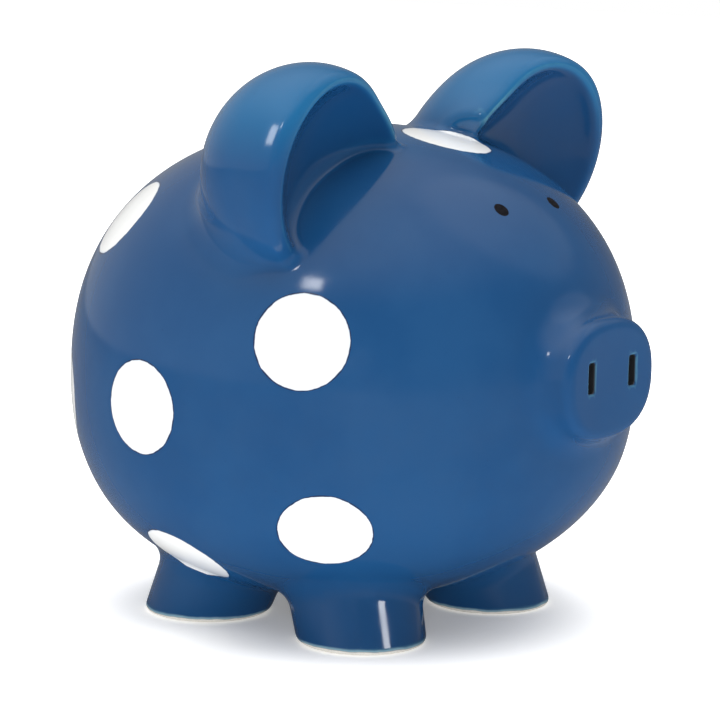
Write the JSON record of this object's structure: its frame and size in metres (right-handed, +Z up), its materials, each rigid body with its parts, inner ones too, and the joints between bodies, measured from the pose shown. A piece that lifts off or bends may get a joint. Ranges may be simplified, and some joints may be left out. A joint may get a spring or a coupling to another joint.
{
  "type": "piggy bank",
  "caption": "Round glazed ceramic pig money box with a coin slot along its back, cupped ears, stub legs, white spots and a pull-out rubber stopper under the belly.",
  "frame": {"origin": "on the ground under the middle of the outline, midway between snout and tail", "axes": "+Z up; the pig faces -Y, so +Y points to its tail, +X to its left side and -X to its right side"},
  "size_m": [0.2, 0.2167, 0.1971],
  "materials": {
    "blue_glaze": "glossy denim-blue glaze, thinner and greener on edges, deeper in hollows",
    "white_glaze": "glossy opaque white spots under the clear glaze",
    "black_glaze": "glossy black painted dots",
    "stopper_rubber": "matt moulded rubber"
  },
  "bodies": {
    "bank": {"torso_shell": "blue_glaze", "snout": "blue_glaze", "ear_left": "blue_glaze", "ear_right": "blue_glaze", "leg_front_left": "blue_glaze", "leg_front_right": "blue_glaze", "leg_rear_left": "blue_glaze", "leg_rear_right": "blue_glaze", "tail": "blue_glaze", "spot_right_1": "white_glaze", "spot_right_2": "white_glaze", "spot_right_3": "white_glaze", "spot_right_4": "white_glaze", "spot_right_5": "white_glaze", "spot_right_6": "white_glaze", "spot_left_1": "white_glaze", "spot_left_2": "white_glaze", "spot_left_3": "white_glaze", "spot_left_4": "white_glaze", "spot_left_5": "white_glaze", "spot_left_6": "white_glaze", "spot_middle_1": "white_glaze", "spot_middle_2": "white_glaze", "spot_middle_3": "white_glaze", "eye_left": "black_glaze", "eye_right": "black_glaze"},
    "stopper": {"stopper": "stopper_rubber"}
  },
  "joints": [
    {"name": "stopper_pull", "type": "slide", "parent": "bank", "child": "stopper", "axis": [0, 0, -1], "range_m": [0, 0.026]}
  ]
}
